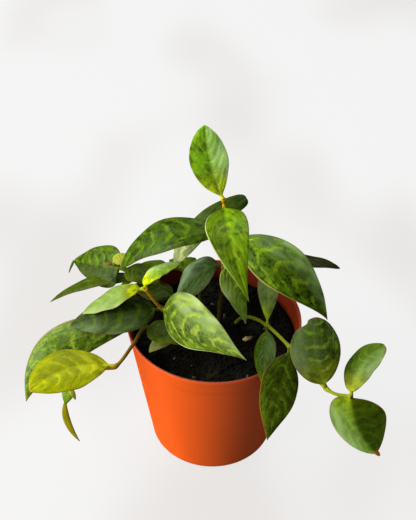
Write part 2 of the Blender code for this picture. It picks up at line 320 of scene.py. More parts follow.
SOIL_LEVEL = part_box("soil")[1][2] / MM
SOIL_RADIUS = 40.9
SOIL_FOOT = 2.3
SOIL_PLUG = ((37.6, 45.0), (31.0, 6.0), (29.0, SOIL_FOOT))
SOIL_EDGE = 0.93
SOIL_EDGE_DROP = 1.6
SOIL_SINK = 0.9
SOIL_OCTAVES = 5
SOIL_WAVES = 4
SOIL_WAVE_NUMBER = 0.17
SOIL_WAVE_HEIGHT = 0.42
SOIL_WAVE_FALLOFF = 1.75
SOIL_RINGS = 90
SOIL_COLUMNS = 300
CRUMBS = 1500
CHIPS = 18
PALE_CHIP = (17.0, -5.2)
PEAT = (0.0036, 0.0030, 0.0012)
PEAT_DRY = (0.022, 0.016, 0.006)
BARK = (0.070, 0.050, 0.022)
PALE_BARK = (0.60, 0.47, 0.20)
ALGAE = (0.014, 0.020, 0.004)


def soil_mix():
    """Wet peat, nearly black, with brown fibres, drier crumbs and a rare green film of algae."""
    finish = Finish("potting_mix", Roughness=0.9, Specular_IOR_Level=0.1)
    place = finish.place()
    grain = finish.noise(place, 900.0, detail=6.0, roughness=0.7)
    patches = finish.noise(place, 120.0, detail=3.0)
    fibres = finish.cells(finish.scaled(place, (1.0, 2.2, 1.0)), 700.0)
    colour = finish.mix(PEAT, PEAT_DRY, grain.stepped(0.45, 0.75) * patches.stepped(0.35, 0.7))
    colour = finish.mix(colour, ALGAE, patches.stepped(0.60, 0.75) * 0.6)
    return finish.wear(Base_Color=colour, Roughness=0.75 + 0.25 * grain,
                       Normal=finish.relief(0.7 * grain + 0.3 * fibres, 0.0005, 0.9))


def bark_mix(name, tone):
    """Chips of bark, brown in their grain."""
    finish = Finish(name, Roughness=0.85, Specular_IOR_Level=0.3)
    place = finish.place()
    grain = finish.noise(finish.scaled(place, (1.0, 4.0, 1.0)), 420.0, detail=5.0, roughness=0.65)
    colour = finish.mix(finish.shade(tone, 0.25), tone, grain.stepped(0.30, 0.55))
    return finish.wear(Base_Color=colour, Normal=finish.relief(grain, 0.0003, 0.8))


def soil_height(x, y):
    """Height of the soil over its level: a sum of sine waves that run in seeded directions.

    Each octave has four waves, half as long as those of the octave before and lower by the falloff.
    """
    height = np.zeros_like(x)
    draw = np.random.default_rng(11)
    for octave in range(SOIL_OCTAVES):
        wave_number = SOIL_WAVE_NUMBER * 2**octave
        wave_height = SOIL_WAVE_HEIGHT / SOIL_WAVE_FALLOFF**octave
        for _ in range(SOIL_WAVES):
            angle, phase = draw.uniform(0, 2 * np.pi, 2)
            run = x * np.cos(angle) + y * np.sin(angle)
            height += wave_height * np.sin(wave_number * run + phase)
    return height - SOIL_SINK


def make_soil():
    """A disc of rings raised by soil_height, with a rounded edge, closed by a tapered plug below."""
    share = np.linspace(0.01, 1.0, SOIL_RINGS)[:, None]
    turn = np.linspace(0, 2 * np.pi, SOIL_COLUMNS, endpoint=False)
    x, y = SOIL_RADIUS * share * np.cos(turn), SOIL_RADIUS * share * np.sin(turn)
    rounding = np.clip((share - SOIL_EDGE) / (1 - SOIL_EDGE), 0, 1)
    z = SOIL_LEVEL + soil_height(x, y) - SOIL_EDGE_DROP * rounding**2
    top = np.stack([x, y, z], axis=-1)
    radius, height = np.hsplit(np.array(SOIL_PLUG), 2)
    plug = np.stack([radius * np.cos(turn), radius * np.sin(turn),
                     np.repeat(height, SOIL_COLUMNS, axis=1)], axis=-1)
    rings = np.concatenate([top, plug])[::-1]
    poles = [(0, 0, SOIL_FOOT), (0, 0, top[0, :, 2].mean())]
    points = np.vstack([rings.reshape(-1, 3), poles])
    shown("soil_bed", points, ring_faces(len(rings), SOIL_COLUMNS), [soil_mix()], "soil", ["soil"])


def turned(points, angle, first, second):
    """Each row of points turned by its own angle in the plane of two axes."""
    cosine, sine = np.cos(angle)[:, None], np.sin(angle)[:, None]
    moved = points.copy()
    moved[..., first] = points[..., first] * cosine - points[..., second] * sine
    moved[..., second] = points[..., first] * sine + points[..., second] * cosine
    return moved


def scattered(seed, count, sizes, flatness, centres=()):
    """Many rough lumps as one set of points and faces.

    A lump is an icosahedron whose corners are pushed in and out by a seeded draw, stretched to its
    size, flattened, tilted and turned at random and half sunk in the soil.
    """
    draw = np.random.default_rng(seed)
    golden = (1 + 5**0.5) / 2
    corners = np.array([(-1, golden, 0), (1, golden, 0), (-1, -golden, 0), (1, -golden, 0),
                        (0, -1, golden), (0, 1, golden), (0, -1, -golden), (0, 1, -golden),
                        (golden, 0, -1), (golden, 0, 1), (-golden, 0, -1), (-golden, 0, 1)]) / 1.9
    sides = np.array([(0, 11, 5), (0, 5, 1), (0, 1, 7), (0, 7, 10), (0, 10, 11), (1, 5, 9), (5, 11, 4),
                      (11, 10, 2), (10, 7, 6), (7, 1, 8), (3, 9, 4), (3, 4, 2), (3, 2, 6), (3, 6, 8),
                      (3, 8, 9), (4, 9, 5), (2, 4, 11), (6, 2, 10), (8, 6, 7), (9, 8, 1)])
    lumps = corners * draw.uniform(0.65, 1.2, (count, 12, 1))
    lumps *= draw.uniform(*sizes, (count, 1, 1)) * np.stack(
        [np.ones(count), draw.uniform(0.5, 0.95, count), draw.uniform(*flatness, count)], axis=-1)[:, None]
    lumps = turned(lumps, draw.uniform(-0.5, 0.5, count), 0, 2)
    lumps = turned(lumps, draw.uniform(0, 2 * np.pi, count), 0, 1)
    radius = (SOIL_RADIUS - 2.2) * np.sqrt(draw.uniform(0, 1, count))
    angle = draw.uniform(0, 2 * np.pi, count)
    x, y = radius * np.cos(angle), radius * np.sin(angle)
    if centres:
        x[:len(centres)], y[:len(centres)] = np.array(centres).T
    middle = np.stack([x, y, SOIL_LEVEL + soil_height(x, y) + draw.uniform(-0.1, 0.5, count)], axis=-1)
    points = lumps + middle[:, None]
    faces = sides[None] + 12 * np.arange(count)[:, None, None]
    return points.reshape(-1, 3), faces.reshape(-1, 3).tolist()


make_soil()
shown("soil_crumbs", *scattered(5, CRUMBS, (0.35, 1.25), (0.5, 0.9)), [soil_mix()], "soil", [])
shown("bark_chips", *scattered(23, CHIPS, (0.8, 1.9), (0.3, 0.5)), [bark_mix("bark_chips", BARK)],
      "soil", [])
shown("pale_bark_chip", *scattered(24, 1, (2.9, 3.1), (0.5, 0.6), [PALE_CHIP]),
      [bark_mix("pale_bark", PALE_BARK)], "soil", [])

# The leaves
# Thick waxy blades on short stalks, in pairs at the stems' joints. The upper face is dark green with
# a yellow-green net: a midrib, side veins that close in arches short of the margin, and a finer net.

LEAF_RINGS = 84
LEAF_COLUMNS = 64
BLADE_END = 0.997
BLADE_THICKNESS = 0.8
BLADE_EDGE = 0.35
THINNEST = 0.12
STALK_RADIUS = 1.0
HOOK_START = 0.7
TAIL_EXTRA = 1.3
FOLD_SOFTNESS = 0.04
RIPPLES = 2.6
BITE_WIDTH = 0.06
FIELD_BULGE = 0.16
VEIN_SINK = 0.07
GROOVE_DEPTH, GROOVE_WIDTH = 0.20, 0.8
UNDER_BULGE = 0.12
UNDER_VEIN = 0.05
KEEL_HEIGHT, KEEL_WIDTH = 0.50, 0.9
SIDE_VEINS = 6.0
VEIN_LEAN = 0.42
VEIN_CURVE = 2.2
SWAY_ACROSS, ACROSS_TURN = 0.22, 4.3
SWAY_ALONG, ALONG_TURN = 0.15, 7.0
SEED_TURN = 1.7
SEED_SPREAD = 10.0
ARCH_REACH = 0.84
ARCH_DIP = 0.30
RIM_BROWN = (0.30, 0.085, 0.012)
RIM_PALE = (0.40, 0.48, 0.16)
GOLD = (0.36, 0.38, 0.004)
UNDERSIDE = (0.20, 0.27, 0.07)
PAINTED_SHEEN_TINT = (0.35, 0.35, 0.50)


def look(ground, vein, painted_light_halves=(1.0, 1.0), tip=1.0, gold=0.0, blotch=0.6, rim=0.2, painted_sheen=0.0, net=0.8,
         margin=0.0, base=GOLD):
    """A leaf's colours: its ground, its veins, the painted light and shade on each half and towards the tip,
    and how much gold or other base colour, dark blotching, brown rim, painted sheen and net it has.

    The painted sheen and the pale margin lie mostly on the side of the blade where v has their sign.
    """
    return dict(ground=ground, vein=vein, painted_light_halves=painted_light_halves, tip=tip, habit=(gold, blotch, rim),
                sheen_net_margin=(painted_sheen, net, margin), base=base)


DARK = look((0.055, 0.090, 0.002), (0.130, 0.200, 0.006), net=0.45)
DEEP = look((0.026, 0.047, 0.008), (0.095, 0.160, 0.040), tip=4.5, net=0.3, painted_sheen=-1.2)
FULL = look((0.085, 0.165, 0.003), (0.230, 0.370, 0.008), blotch=0.9)
BRIGHT = look((0.150, 0.285, 0.002), (0.300, 0.450, 0.012), painted_light_halves=(0.68, 1.05), blotch=0.85, net=0.6,
              margin=-0.8)
PALE = look((0.095, 0.190, 0.003), (0.380, 0.520, 0.045), painted_light_halves=(0.85, 1.05), painted_sheen=0.7, rim=0.1,
            net=1.0, blotch=0.8, margin=-0.8)
NEW = look((0.350, 0.540, 0.080), (0.500, 0.700, 0.150), gold=1.0, blotch=0.2, rim=0.3, net=0.6,
           painted_sheen=0.35, base=(0.50, 0.60, 0.003))
GOLDEN = look((0.330, 0.365, 0.001), (0.540, 0.560, 0.006), painted_light_halves=(0.85, 1.1), gold=0.8, blotch=0.15,
              rim=0.5, net=0.7, base=(0.56, 0.55, 0.002))
OLIVE = look((0.300, 0.260, 0.003), (0.380, 0.330, 0.006), blotch=0.2, rim=0.5, net=0.3)
CURL = look((0.230, 0.250, 0.018), (0.360, 0.380, 0.060), blotch=0.1, rim=0.3, net=0.2)
PINK = look((0.110, 0.080, 0.010), (0.160, 0.110, 0.015), blotch=0.2, rim=0.8, net=0.2)


def unit(rows):
    """Vectors scaled to length one."""
    return rows / np.linalg.norm(rows, axis=-1, keepdims=True)


def smoothstep(values, low, high):
    """0 below low and 1 above high, with a smooth rise between them."""
    share = np.clip((values - low) / (high - low), 0, 1)
    return share**2 * (3 - 2 * share)


def leaf(node, heading, rise, length, width, paint=FULL, **habit):
    """A leaf's own numbers: which node it grows from, where it points and how its blade is shaped.

    heading and rise turn the line from base to tip; roll turns the blade about that line. arch bows
    the midrib out of the blade's plane, sweep bows it to the side and hook curls the tip down, as
    shares of the length. fold lifts both margins to a V and cup rounds them down, as shares of the
    half width. round_base and long_tip are the powers that shape the outline, and wave is how far
    the margin ripples, in millimetres. stalk and drip are the shares of the length that are stalk
    and thin tail, and crook bends that tail to the side. bite is where along the blade and how deep
    the margin is eaten away on the side where v is over 0. tone is how light it is against its look:
    partly its own tone, partly painted light and shade for how the light falls on it.
    """
    usual = dict(roll=0.0, arch=0.1, sweep=0.0, hook=0.0, fold=0.15, cup=0.2, round_base=0.55,
                 long_tip=0.95, stalk=0.07, wave=0.35, drip=0.0, crook=0.0, bite=(0.0, 0.0), tone=1.0)
    return dict(usual, node=node, heading=heading, rise=rise, length=length, width=width, paint=paint,
                **habit)


def vein_field(t, v, seed):
    """How far a point of the blade is from the side veins (1 on one) and where their arches run.

    The veins are evenly spaced lines of t that lean to the tip by a power of |v|, with a slow
    wobble; each pair closes in an arch whose reach dips towards the veins.
    """
    phase = (SIDE_VEINS * (t - VEIN_LEAN * np.abs(v)**VEIN_CURVE)
             + SWAY_ACROSS * np.sin(ACROSS_TURN * v + seed)
             + SWAY_ALONG * np.sin(ALONG_TURN * t + SEED_TURN * seed))
    nearness = np.abs(phase % 1.0 - 0.5) * 2
    reach = ARCH_REACH - ARCH_DIP * nearness**3
    return nearness, reach


def leaf_surface(numbers, base, seed):
    """A closed lens-shaped section carried along the bowed midrib from stalk to tip.

    v, across the blade, is the cosine of the ring angle, and the thickness follows the root of its
    sine. The half width is a product of powers of t and 1 - t. The fold, the cup, the ripple, the
    midrib's groove and keel and the sunk side veins are heights along the blade's normal.
    """
    share = np.linspace(0.0, 1.0, LEAF_RINGS)[:, None]
    t = BLADE_END * (0.5 * share + 0.5 * (0.5 - 0.5 * np.cos(np.pi * share)))
    angle = np.linspace(0, 2 * np.pi, LEAF_COLUMNS, endpoint=False)[None]
    v = np.cos(angle)
    upper = np.sin(angle)

    heading, rise, roll = np.radians([numbers["heading"], numbers["rise"], numbers["roll"]])
    chord = np.array([np.cos(rise) * np.cos(heading), np.cos(rise) * np.sin(heading), np.sin(rise)])
    level = np.array([-np.sin(heading), np.cos(heading), 0.0])
    above = np.cross(chord, level)
    across = np.cos(roll) * level + np.sin(roll) * above
    face = np.cos(roll) * above - np.sin(roll) * level

    length = numbers["length"]
    bow, bow_slope = 4 * t * (1 - t), 4 - 8 * t
    hook_run = 1 - HOOK_START
    near_tip = np.clip((t - HOOK_START) / hook_run, 0, 1)
    tail = numbers["drip"]
    on_tail = np.clip((t - 1 + 1.5 * tail) / max(1.5 * tail, 0.01), 0, 1)
    out_of_plane = numbers["arch"] * bow - numbers["hook"] * near_tip**2
    slope = numbers["arch"] * bow_slope - numbers["hook"] * 2 * near_tip / hook_run
    aside = numbers["sweep"] * bow + numbers["crook"] * on_tail**2
    midrib = base + length * (t * chord + out_of_plane * face + aside * across)
    along = unit(chord + slope * face + numbers["sweep"] * bow_slope * across)
    normal = unit(np.cross(along, across))
    side = np.cross(normal, along)

    p, q = numbers["round_base"], numbers["long_tip"]
    widest = p / (p + q)
    blade_t = np.clip((t - numbers["stalk"]) / (1 - numbers["stalk"] - tail), 0, 1)
    outline = (blade_t / widest) ** p * ((1 - blade_t) / (1 - widest)) ** q
    stalk = STALK_RADIUS * np.clip(numbers["width"] / 12, 0.6, 1.0)
    in_blade = smoothstep(t, 0.3 * numbers["stalk"], numbers["stalk"] + 0.06)
    tail_flesh = TAIL_EXTRA * smoothstep(t, 1 - 1.3 * tail, 1.001 - 0.8 * tail)
    narrow = stalk * (1 - in_blade) + BLADE_EDGE * in_blade + tail_flesh
    half = np.sqrt((numbers["width"] / 2 * outline)**2 + narrow**2 * (1 - near_tip**6))
    half = np.maximum(half, THINNEST)
    bite_place, bite_depth = numbers["bite"]
    bitten = np.exp(-((blade_t - bite_place) / BITE_WIDTH)**2) * smoothstep(v, 0.2, 0.9)
    over = half * v * (1 - bite_depth * bitten)

    nearness, reach = vein_field(blade_t, v, seed)
    inside = smoothstep(reach - np.abs(v), 0.0, 0.12)
    vein = np.maximum(smoothstep(nearness, 0.72, 1.0) * inside,
                      1 - smoothstep(np.abs(np.abs(v) - reach), 0.0, 0.10))
    bulge = (1 - nearness**2) * inside
    body = BLADE_THICKNESS / 2 * (1 + 0.3 * np.exp(-(over / 2.0)**2)) * np.minimum(1, half / 1.6)
    thick = stalk * (1 - in_blade) * upper + in_blade * body * np.sign(upper) * np.abs(upper)**0.5
    fade = in_blade * smoothstep(half, 1.0, 5.0)
    groove = GROOVE_DEPTH * np.exp(-(over / GROOVE_WIDTH)**2)
    keel = KEEL_HEIGHT * (1 - 0.8 * t) * np.exp(-(over / KEEL_WIDTH)**2)
    top = fade * (FIELD_BULGE * bulge - VEIN_SINK * vein - groove)
    below = fade * (UNDER_BULGE * bulge + UNDER_VEIN * vein) - in_blade * keel
    relief = np.where(upper > 0, top, below) * np.abs(upper)**0.3

    folded = np.sqrt(v**2 + FOLD_SOFTNESS**2) - FOLD_SOFTNESS
    ripple_phase = 2 * np.pi * (RIPPLES * t + 0.13 * seed) + 0.9 * np.sign(v) * seed
    ripple_height = numbers["wave"] * min(1.0, numbers["width"] / 15)
    ripple = ripple_height * v**2 * fade * np.sin(ripple_phase)
    lift = half * (numbers["fold"] * folded - numbers["cup"] * v**2) + ripple
    points = midrib[:, None] + side[:, None] * over[..., None]
    points = points + normal[:, None] * (lift + thick + relief)[..., None]

    sheet = np.stack(np.broadcast_arrays(t * length, over, SEED_SPREAD * seed), axis=-1)
    blade = np.stack(np.broadcast_arrays(blade_t, v, upper), axis=-1)
    return points, sheet, blade


def waxy_leaf():
    """The leaf's skin: arched veins, dark blotches, golden base, thin rim, pale underside and a painted
    sheen.
    """
    finish = Finish("waxy_leaf", Specular_IOR_Level=0.06)
    blade, sheet = finish.attribute("blade"), finish.attribute("sheet")
    habit, sheen_net_margin = finish.attribute("habit"), finish.attribute("sheen_net_margin")
    t, v, upper = blade.part("X"), blade.part("Y"), blade.part("Z")
    gold, blotch, rim = habit.part("X"), habit.part("Y"), habit.part("Z")
    painted_sheen, net, margin = sheen_net_margin.part("X"), sheen_net_margin.part("Y"), sheen_net_margin.part("Z")
    seed = sheet.part("Z") * (1 / SEED_SPREAD)
    reach_over = v.number("ABSOLUTE")

    warp = finish.noise(sheet, 0.22) - 0.5
    sway = SWAY_ACROSS * (ACROSS_TURN * v + seed).number("SINE")
    sway = sway + SWAY_ALONG * (ALONG_TURN * t + SEED_TURN * seed).number("SINE")
    phase = SIDE_VEINS * (t - VEIN_LEAN * reach_over**VEIN_CURVE) + sway + 1.1 * warp
    nearness = (phase.number("FRACT") - 0.5).number("ABSOLUTE") * 2.0
    reach = ARCH_REACH - ARCH_DIP * nearness**3.0 + 0.25 * warp
    inside = (reach - reach_over).stepped(0.0, 0.12)
    side_vein = nearness.stepped(0.50, 0.95) * inside
    arch = 1.0 - (reach_over - reach).number("ABSOLUTE").stepped(0.01, 0.12)
    breaks = finish.noise(sheet, 0.24, detail=3.0).stepped(0.36, 0.58)
    veins = side_vein.number("MAXIMUM", arch * 0.7) * (0.20 + 0.80 * breaks)

    fine = finish.cells(sheet, 0.50, feature="DISTANCE_TO_EDGE")
    fine_net = (1.0 - fine.stepped(0.02, 0.25)) * breaks
    patches = finish.noise(sheet, 0.26, detail=3.0)
    specks = finish.noise(sheet, 1.3).stepped(0.56, 0.70)
    clouds = finish.noise(sheet, 0.10)
    streaks = finish.noise(finish.scaled(sheet, (0.085, 0.22, 1.0)), 1.0, detail=1.5)

    ground, bright = finish.attribute("ground", "Color"), finish.attribute("vein", "Color")
    colour = finish.shade(ground, 0.42 + 1.08 * clouds)
    dark = patches.stepped(0.46, 0.66) * (1.0 - 0.7 * veins) + 0.6 * specks * reach_over.stepped(0.2, 0.9)
    colour = finish.mix(colour, finish.shade(ground, 0.30), (blotch * dark).clamped())
    # Painted sheen: a pale bluish colour in streaks, mostly on one side of the blade and away from the stalk,
    # stands in for the lamps' reflections.
    sheen_colour = finish.node("ShaderNodeVectorMath", {"operation": "ADD"},
                        {0: finish.shade(bright, 1.15), 1: finish.shade(PAINTED_SHEEN_TINT, bright.part("Y"))})
    sheen = (0.25 * painted_sheen.number("ABSOLUTE") + 1.4 * painted_sheen * v).clamped()
    sheen_streaks = 0.16 + 0.56 * streaks.stepped(0.32, 0.64)
    colour = finish.mix(colour, sheen_colour, sheen_streaks * sheen * t.stepped(0.02, 0.30))
    colour = finish.mix(colour, bright, (net * (veins + 0.30 * fine_net)).clamped())
    across_mm = sheet.part("Y").number("ABSOLUTE")
    rib = (1.0 - across_mm.stepped(0.15, 0.70)) * (1.0 - 0.8 * t)
    colour = finish.mix(colour, bright, (rib * (0.2 + 0.3 * gold)).clamped())
    warm_base = gold * (2.0 - (t + 0.25 * warp).stepped(0.12, 0.42) - t.stepped(0.00, 0.06))
    mottled = finish.shade(finish.attribute("base", "Color"), 1.1 - 0.5 * patches.stepped(0.42, 0.60))
    colour = finish.mix(colour, mottled, warm_base.clamped())
    pale_edge = reach_over.stepped(0.94, 0.98) * (margin * v).clamped()
    colour = finish.mix(colour, RIM_PALE, pale_edge)
    brown = (reach_over.stepped(0.955, 0.985) + t.stepped(0.945, 0.985)).clamped()
    colour = finish.mix(colour, RIM_BROWN, brown * rim)
    beneath = 1.0 - upper.stepped(-0.12, 0.02)
    under_colour = finish.mix(finish.shade(UNDERSIDE, 0.85 + 0.3 * clouds), finish.shade(bright, 0.9),
                              (0.5 * veins + 0.5 * rib).clamped())
    colour = finish.mix(colour, under_colour, beneath * 0.85)

    grain = finish.noise(sheet, 2.2)
    swell = 0.45 * fine.stepped(0.0, 0.35) + 0.35 * patches + 0.20 * grain
    return finish.wear(Base_Color=colour, Roughness=0.36 + 0.12 * patches + 0.25 * beneath,
                       Normal=finish.relief(swell, 0.00015, 0.4))


def stem_skin():
    """The stem's skin: streaked along its length, with a dull down of fine hairs."""
    finish = Finish("stem_skin", Roughness=0.5, Specular_IOR_Level=0.08)
    sheet = finish.attribute("sheet")
    streaks = finish.noise(finish.scaled(sheet, (0.25, 3.0, 1.0)), 0.9, detail=3.0)
    specks = finish.cells(sheet, 1.1).stepped(0.10, 0.30)
    colour = finish.shade(finish.attribute("ground", "Color"), 0.70 + 0.55 * streaks)
    colour = finish.mix(finish.attribute("vein", "Color"), colour, 0.55 + 0.45 * specks)
    return finish.wear(Base_Color=colour, Roughness=0.42 + 0.25 * streaks,
                       Normal=finish.relief(streaks, 0.0003, 0.5))


LEAF_SKIN = waxy_leaf()
STEM_SKIN = stem_skin()

# The stems
# Each is one living shoot with its leaves, so one piece: a round green stem, thicker at the joints
# where a pair of leaves grows, rooted in the soil and free at its other end.

STEM_RADIUS = 1.0
STEM_TIP_RADIUS = 0.8
STEM_STEPS = 14
STEM_COLUMNS = 20
JOINT_SWELLING = 0.5
JOINT_SPREAD = 1.6
STEM_GREEN = (0.120, 0.170, 0.010)
STEM_YELLOW = (0.330, 0.360, 0.012)
STEM_MOSS = (0.095, 0.125, 0.003)
STEM_ORANGE = (0.460, 0.230, 0.012)
STEM_SHADE = (0.040, 0.050, 0.008)


def smooth_route(points, steps):
    """A curve through all the points, the Catmull-Rom way."""
    points = np.array(points, float)
    padded = np.vstack([2 * points[0] - points[1], points, 2 * points[-1] - points[-2]])
    t = np.linspace(0.0, 1.0, steps, endpoint=False)[:, None]
    stretches = []
    for before, start, end, after in zip(padded, padded[1:], padded[2:], padded[3:]):
        pull = (end - before) * t + (2 * before - 5 * start + 4 * end - after) * t**2
        stretches.append(start + 0.5 * (pull + (3 * start - before - 3 * end + after) * t**3))
    return np.vstack(stretches + [points[-1:]])


def stem_surface(route, joints, seed):
    """Rings round the smooth route, tapered to the tip, with a bell-shaped swelling at each joint."""
    path = smooth_route(route, STEM_STEPS)
    run = np.concatenate([[0], np.cumsum(np.linalg.norm(np.diff(path, axis=0), axis=1))])
    radius = np.linspace(STEM_RADIUS, STEM_TIP_RADIUS, len(path))
    for joint in joints:
        radius = radius + JOINT_SWELLING * np.exp(-((run - run[joint * STEM_STEPS]) / JOINT_SPREAD)**2)
    along = unit(np.gradient(path, axis=0))
    aside = unit(np.cross(along, np.array([0.31, 0.87, 0.11])))
    other = np.cross(along, aside)
    angle = np.linspace(0, 2 * np.pi, STEM_COLUMNS, endpoint=False)[None, :, None]
    ridge = 1 + 0.05 * np.cos(3 * angle + seed)
    around = (aside[:, None] * np.cos(angle) + other[:, None] * np.sin(angle)) * ridge
    points = path[:, None] + around * radius[:, None, None]
    sheet = np.stack(np.broadcast_arrays(run[:, None], angle[..., 0] * STEM_RADIUS,
                                         SEED_SPREAD * seed), axis=-1)
    return points, sheet, run / run[-1]


def closed(rings):
    """Rings as a flat list of points with the two poles that close them."""
    return np.vstack([rings.reshape(-1, rings.shape[-1]), rings[0].mean(axis=0), rings[-1].mean(axis=0)])


def leafy_stem(name, slot, route, leaves, seed, low_colour=STEM_SHADE, high_colour=STEM_GREEN):
    """A stem and its leaves in one mesh, with the numbers that their skins read at each point."""
    points, sheet, height = stem_surface(route, sorted({numbers["node"] for numbers in leaves}), seed)
    rings, columns = points.shape[:2]
    # The stem's colour runs from low_colour at its root to high_colour at its end; the default low colour,
    # STEM_SHADE, is painted shade under the leaves.
    tint = np.array(low_colour) + (np.array(high_colour) - low_colour) * height[:, None]**1.5
    ground = np.broadcast_to(tint[:, None], (rings, columns, 3))
    parts = [(points, sheet, np.zeros_like(sheet), ground, ground * 1.5, (0, 0, 0), (0, 0, 0), GOLD, 1)]
    for number, numbers in enumerate(leaves):
        paint = numbers["paint"]
        joint = np.array(route[numbers["node"]], float)
        points, sheet, blade = leaf_surface(numbers, joint, seed + 1.37 * number)
        t, v = blade[..., :1], blade[..., 1:2]
        # Painted light and shade: each half of the blade and the end towards the tip are made lighter or
        # darker for how the light falls on them; tone scales the whole leaf, partly for its own tone, partly
        # for its light.
        low, high = paint["painted_light_halves"]
        light = (low + (high - low) * smoothstep(v, -0.07, 0.07)) * (1 + (paint["tip"] - 1) * t)
        light = light * numbers["tone"]
        parts.append((points, sheet, blade, light * paint["ground"], light * paint["vein"],
                      paint["habit"], paint["sheen_net_margin"], light * paint["base"], 0))
    gathered = [[] for _ in range(8)]
    faces, kinds, offset = [], [], 0
    for surface, sheet, blade, ground, vein, habit, sheen_net_margin, foot, kind in parts:
        whole = np.ones(surface.shape[:2] + (1,))
        rows = (surface, sheet, blade, ground, vein, whole * habit, whole * sheen_net_margin, whole * foot)
        for collected, values in zip(gathered, rows):
            collected.append(closed(np.asarray(values, float)))
        made = ring_faces(*surface.shape[:2], offset)
        faces += made
        kinds += [kind] * len(made)
        offset += surface.shape[0] * surface.shape[1] + 2
    points, sheet, blade, ground, vein, habit, sheen_net_margin, foot = map(np.vstack, gathered)
    opaque = np.ones((len(points), 1))
    shown(name + "_shoot", points, faces, [LEAF_SKIN, STEM_SKIN], slot, [name], kinds, [
        ("sheet", sheet), ("blade", blade), ("habit", habit), ("sheen_net_margin", sheen_net_margin),
        ("ground", np.hstack([ground, opaque])), ("vein", np.hstack([vein, opaque])),
        ("base", np.hstack([foot, opaque])),
    ])


# The tallest stem
# It grows straight up from the middle of the soil, orange where it is young, with an upright leaf at
# its top and pairs of long leaves below.
leafy_stem(
    "stem_upright", "leaves", seed=1.0, high_colour=STEM_ORANGE,
    route=[(2, 2, 64), (3, 1, 95), (4, 0, 120), (6, 0, 139), (4, 0, 156), (3, 0, 161)],
    leaves=[
        leaf(5, heading=114, rise=51, length=36, width=19, roll=-3, arch=0.0, sweep=0.05,
             round_base=0.86, long_tip=0.78, stalk=0.05, fold=0.1, tone=1.35,
             paint=look((0.115, 0.240, 0.003), (0.330, 0.520, 0.040), painted_light_halves=(1.25, 0.85), gold=0.5,
                        rim=0.0, blotch=0.9, net=0.25, painted_sheen=-0.5)),
        leaf(4, heading=283, rise=-16, length=53, width=20, roll=8, arch=0.28, sweep=-0.05,
             round_base=0.56, long_tip=1.26, fold=0.2, paint=BRIGHT, tone=0.65),
        leaf(3, heading=342, rise=-38, length=67, width=24, roll=34, arch=0.27, sweep=0.03,
             round_base=0.62, long_tip=1.24, fold=-0.1, tone=0.8,
             paint=look((0.062, 0.130, 0.002), (0.270, 0.440, 0.012), painted_light_halves=(0.85, 1.25), blotch=1.0,
                        painted_sheen=0.7, margin=-0.6, rim=0.5)),
        leaf(3, heading=175, rise=-28, length=61, width=19, roll=-17, arch=0.19, sweep=-0.05,
             round_base=0.6, long_tip=0.8, tone=0.37,
             paint=look((0.075, 0.160, 0.003), (0.210, 0.370, 0.008), blotch=0.9)),
        leaf(2, heading=312, rise=-58, length=34, width=17, roll=-13, arch=0.06,
             round_base=0.4, long_tip=1.15, tone=2.1,
             paint=look((0.060, 0.105, 0.002), (0.170, 0.260, 0.010), net=1.0, blotch=0.5,
                        painted_sheen=-0.4, margin=-0.6)),
        leaf(2, heading=179, rise=-58, length=45, width=22, roll=-10, arch=0.14, sweep=-0.05,
             paint=DEEP, tone=0.7),
        leaf(2, heading=72, rise=-25, length=46, width=17, arch=0.15, paint=DARK),
    ],
)

# The stem at the back left
# It leans back to the rim. Its pale last leaf rises behind the upright stem, and two dark ones hang
# at the back.
leafy_stem(
    "stem_back_left", "leaves", seed=2.1,
    route=[(-6, 10, 64), (-8, 16, 84), (-15, 24, 91), (-22, 24.5, 94)],
    leaves=[
        leaf(3, heading=20, rise=42, length=54, width=13, roll=21, arch=0.16, sweep=0.03,
             round_base=0.35, long_tip=0.3, tone=0.75,
             paint=look((0.060, 0.115, 0.002), (0.150, 0.260, 0.006), tip=0.3, gold=1.0, rim=0.0,
                        net=0.3, base=(0.50, 0.58, 0.20))),
        leaf(3, heading=163, rise=-42, length=42, width=16, arch=0.15, paint=DARK),
        leaf(2, heading=97, rise=-46, length=43, width=14.5, arch=0.2, paint=DARK),
    ],
)

# The young stem
# A soft new shoot at the front left, orange at its tip, with two light green leaves there above two
# full ones.
leafy_stem(
    "stem_young", "young_leaves", seed=3.2, high_colour=STEM_ORANGE,
    route=[(-7, -3, 64), (-13, -7, 82), (-26, -13.5, 101), (-34, -17, 118)],
    leaves=[
        leaf(2, heading=316, rise=6, length=58, width=26, roll=63, sweep=0.07,
             round_base=0.62, long_tip=1.35, stalk=0.04, paint=PALE, tone=0.52),
        leaf(2, heading=188, rise=-9, length=47, width=20, roll=-27, long_tip=0.9, tone=0.52,
             paint=look((0.030, 0.062, 0.002), (0.130, 0.225, 0.008), net=0.6, painted_sheen=0.8)),
        leaf(3, heading=179, rise=-31, length=37, width=17, roll=5, arch=0.02, sweep=-0.07,
             round_base=0.81, long_tip=1.0, paint=NEW, tone=0.4),
        leaf(3, heading=37, rise=12, length=21, width=11.5, roll=-18, arch=0.06, sweep=0.22,
             long_tip=0.56, tone=0.82,
             paint=look((0.200, 0.360, 0.020), (0.400, 0.560, 0.080), gold=1.0, blotch=0.2, net=0.5,
                        painted_sheen=0.7, base=(0.50, 0.58, 0.003))),
    ],
)

